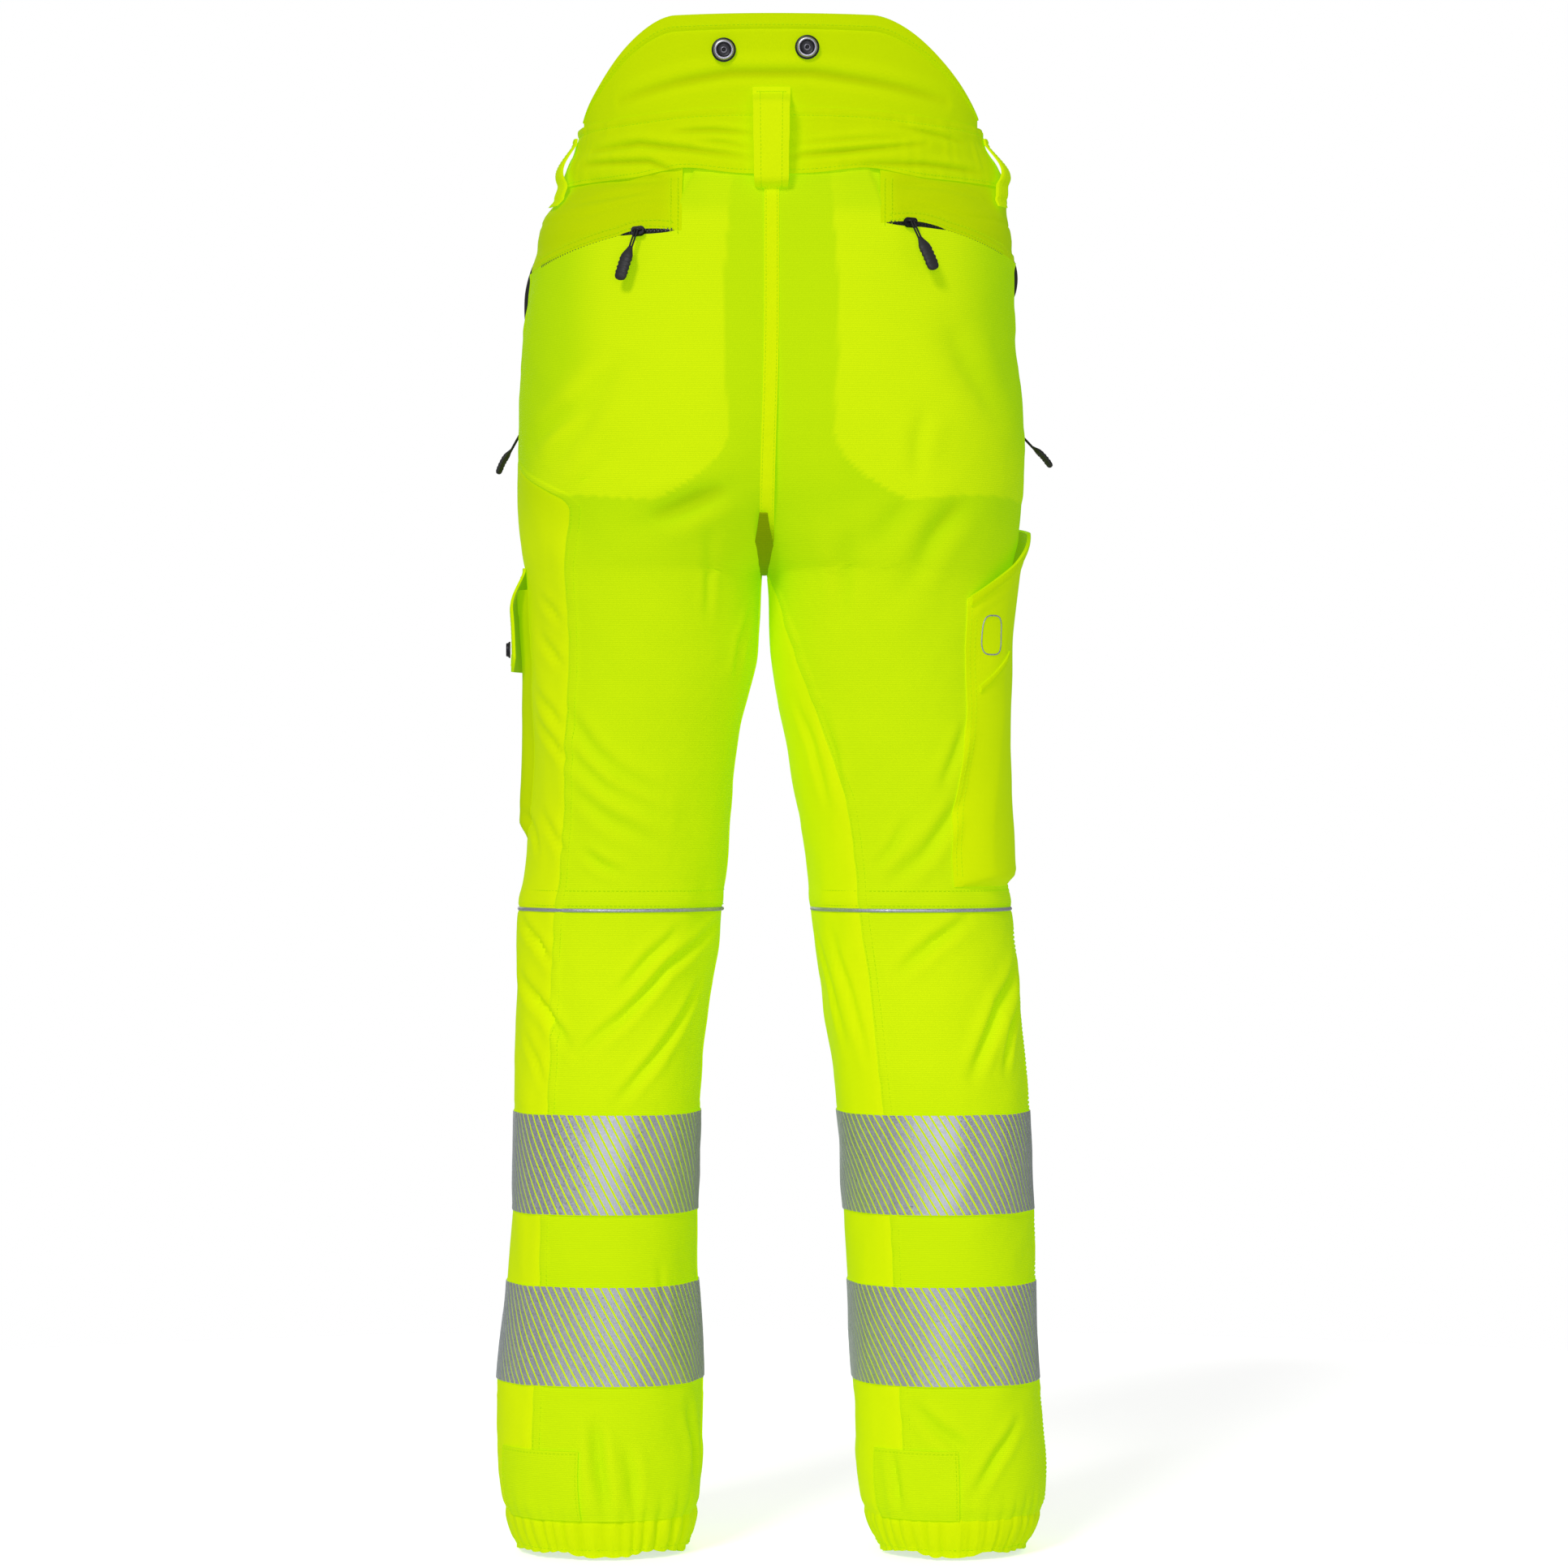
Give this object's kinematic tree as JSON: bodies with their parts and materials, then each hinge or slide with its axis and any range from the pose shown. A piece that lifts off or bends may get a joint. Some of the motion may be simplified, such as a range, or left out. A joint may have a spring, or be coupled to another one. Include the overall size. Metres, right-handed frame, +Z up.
{
  "type": "chainsaw protection trousers",
  "caption": "High-visibility saw-protection trousers with raised kidney guard, zipped pockets, thigh pockets, articulated knees and reflective bands.",
  "frame": {"origin": "centre of the waist opening at the waistband's lower seam", "axes": "+Z up along the body, -Y the way the wearer faces, +X the wearer's left"},
  "size_m": [0.4315, 0.2707, 1.1425],
  "materials": {
    "smooth": "smooth woven fluorescent yellow, matt",
    "ripstop": "ribbed stretch ripstop, fluorescent yellow-green, matt",
    "reflective": "segmented silver retroreflective film on knit",
    "black_fabric": "black coated zip tape",
    "padding": "loose layers of long protective fibre",
    "metal": "nickel-plated",
    "black_rubber": "moulded black rubber",
    "black_plastic": "moulded black press stud"
  },
  "bodies": {
    "trousers": {"back_pocket_left_zip_tape": "black_fabric", "back_pocket_right_zip_tape": "black_fabric", "back_yoke_left": "smooth", "back_yoke_right": "smooth", "belt_loop_back": "smooth", "belt_loop_front_left": "smooth", "belt_loop_front_right": "smooth", "belt_loop_side_left": "smooth", "belt_loop_side_right": "smooth", "brace_stud_back_left": "metal", "brace_stud_back_right": "metal", "brace_stud_front_left": "metal", "brace_stud_front_right": "metal", "cargo_pocket": "smooth", "centre_back_seam": "smooth", "crotch_gusset": "ripstop", "cut_insert_thigh_left": "padding", "cut_insert_thigh_right": "padding", "fly_placket": "smooth", "fly_zip_tape": "black_fabric", "front_panel_left": "smooth", "front_panel_right": "smooth", "hand_pocket_left_zip_tape": "black_fabric", "hand_pocket_right_zip_tape": "black_fabric", "kidney_guard": "smooth", "knee_panel_left": "ripstop", "knee_panel_right": "ripstop", "knee_piping_left": "reflective", "knee_piping_right": "reflective", "seat_panel_left": "ripstop", "seat_panel_right": "ripstop", "tool_pocket": "smooth", "waist_button": "metal", "waistband_back": "smooth", "waistband_front_left": "smooth", "waistband_front_right": "smooth"},
    "lower_leg_left": {"shin_front_left": "smooth", "shin_back_left": "ripstop", "cut_insert_shin_left": "padding", "reflective_band_upper_left": "reflective", "reflective_band_lower_left": "reflective", "cuff_left": "smooth"},
    "lower_leg_right": {"shin_front_right": "smooth", "shin_back_right": "ripstop", "cut_insert_shin_right": "padding", "reflective_band_upper_right": "reflective", "reflective_band_lower_right": "reflective", "cuff_right": "smooth"},
    "cargo_flap": {"cargo_flap": "smooth", "cargo_flap_stud": "black_plastic"},
    "back_pocket_left_slider": {"back_pocket_left_slider": "metal"},
    "back_pocket_left_pull": {"back_pocket_left_pull": "black_rubber"},
    "back_pocket_right_slider": {"back_pocket_right_slider": "metal"},
    "back_pocket_right_pull": {"back_pocket_right_pull": "black_rubber"},
    "hand_pocket_left_slider": {"hand_pocket_left_slider": "metal"},
    "hand_pocket_left_pull": {"hand_pocket_left_pull": "black_rubber"},
    "hand_pocket_right_slider": {"hand_pocket_right_slider": "metal"},
    "hand_pocket_right_pull": {"hand_pocket_right_pull": "black_rubber"},
    "fly_slider": {"fly_slider": "metal"},
    "fly_pull": {"fly_pull": "black_rubber"}
  },
  "joints": [
    {"name": "knee_left", "type": "hinge", "parent": "trousers", "child": "lower_leg_left", "pos_m": [0.11466, 0, -0.545], "axis": [1, 0, 0], "range_deg": [0, 90], "deforming": ["knee_panel_left", "knee_piping_left"]},
    {"name": "knee_right", "type": "hinge", "parent": "trousers", "child": "lower_leg_right", "pos_m": [-0.10468, 0, -0.545], "axis": [1, 0, 0], "range_deg": [0, 90], "deforming": ["knee_panel_right", "knee_piping_right"]},
    {"name": "cargo_flap_hinge", "type": "hinge", "parent": "trousers", "child": "cargo_flap", "pos_m": [0.19031, -0.05976, -0.289], "axis": [0, -1, 0], "range_deg": [0, 90]},
    {"name": "back_pocket_left_zip_slide", "type": "hinge", "parent": "trousers", "child": "back_pocket_left_slider", "pos_m": [0.05349, -0.00257, -0.08952], "axis": [0.038, 0.3305, -0.9431], "range_deg": [-8.2, 39.7]},
    {"name": "back_pocket_left_pull_swing", "type": "hinge", "parent": "back_pocket_left_slider", "child": "back_pocket_left_pull", "pos_m": [0.09978, 0.12226, -0.04392], "axis": [0.9004, -0.3981, 0.1757], "range_deg": [0, 120]},
    {"name": "back_pocket_right_zip_slide", "type": "hinge", "parent": "trousers", "child": "back_pocket_right_slider", "pos_m": [-0.05991, 0.00177, -0.08113], "axis": [0.0662, -0.3263, 0.9429], "range_deg": [-4.5, 42.4]},
    {"name": "back_pocket_right_pull_swing", "type": "hinge", "parent": "back_pocket_right_slider", "child": "back_pocket_right_pull", "pos_m": [-0.10275, 0.11976, -0.03729], "axis": [0.8671, 0.4164, -0.2734], "range_deg": [0, 120]},
    {"name": "hand_pocket_left_zip_slide", "type": "hinge", "parent": "trousers", "child": "hand_pocket_left_slider", "pos_m": [-0.44298, 0.08212, -0.18108], "axis": [0.1889, 0.9504, -0.2472], "range_deg": [-11.1, 0]},
    {"name": "hand_pocket_left_pull_swing", "type": "hinge", "parent": "hand_pocket_left_slider", "child": "hand_pocket_left_pull", "pos_m": [0.19338, -0.04486, -0.18303], "axis": [-0.1957, -0.9807, 0], "range_deg": [0, 120]},
    {"name": "hand_pocket_right_zip_slide", "type": "hinge", "parent": "trousers", "child": "hand_pocket_right_slider", "pos_m": [0.98195, 0.1858, -0.1786], "axis": [0.1859, -0.9488, 0.2555], "range_deg": [-6, 0]},
    {"name": "hand_pocket_right_pull_swing", "type": "hinge", "parent": "hand_pocket_right_slider", "child": "hand_pocket_right_pull", "pos_m": [-0.18923, -0.04483, -0.18304], "axis": [-0.1932, 0.9812, 0], "range_deg": [0, 120]},
    {"name": "fly_zip_slide", "type": "hinge", "parent": "trousers", "child": "fly_slider", "pos_m": [0, 0.55722, -0.10844], "axis": [1, 0, 0], "range_deg": [0, 11.8]},
    {"name": "fly_pull_swing", "type": "hinge", "parent": "fly_slider", "child": "fly_pull", "pos_m": [0, -0.1269, -0.01827], "axis": [-1, 0, 0], "range_deg": [0, 120]}
  ]
}
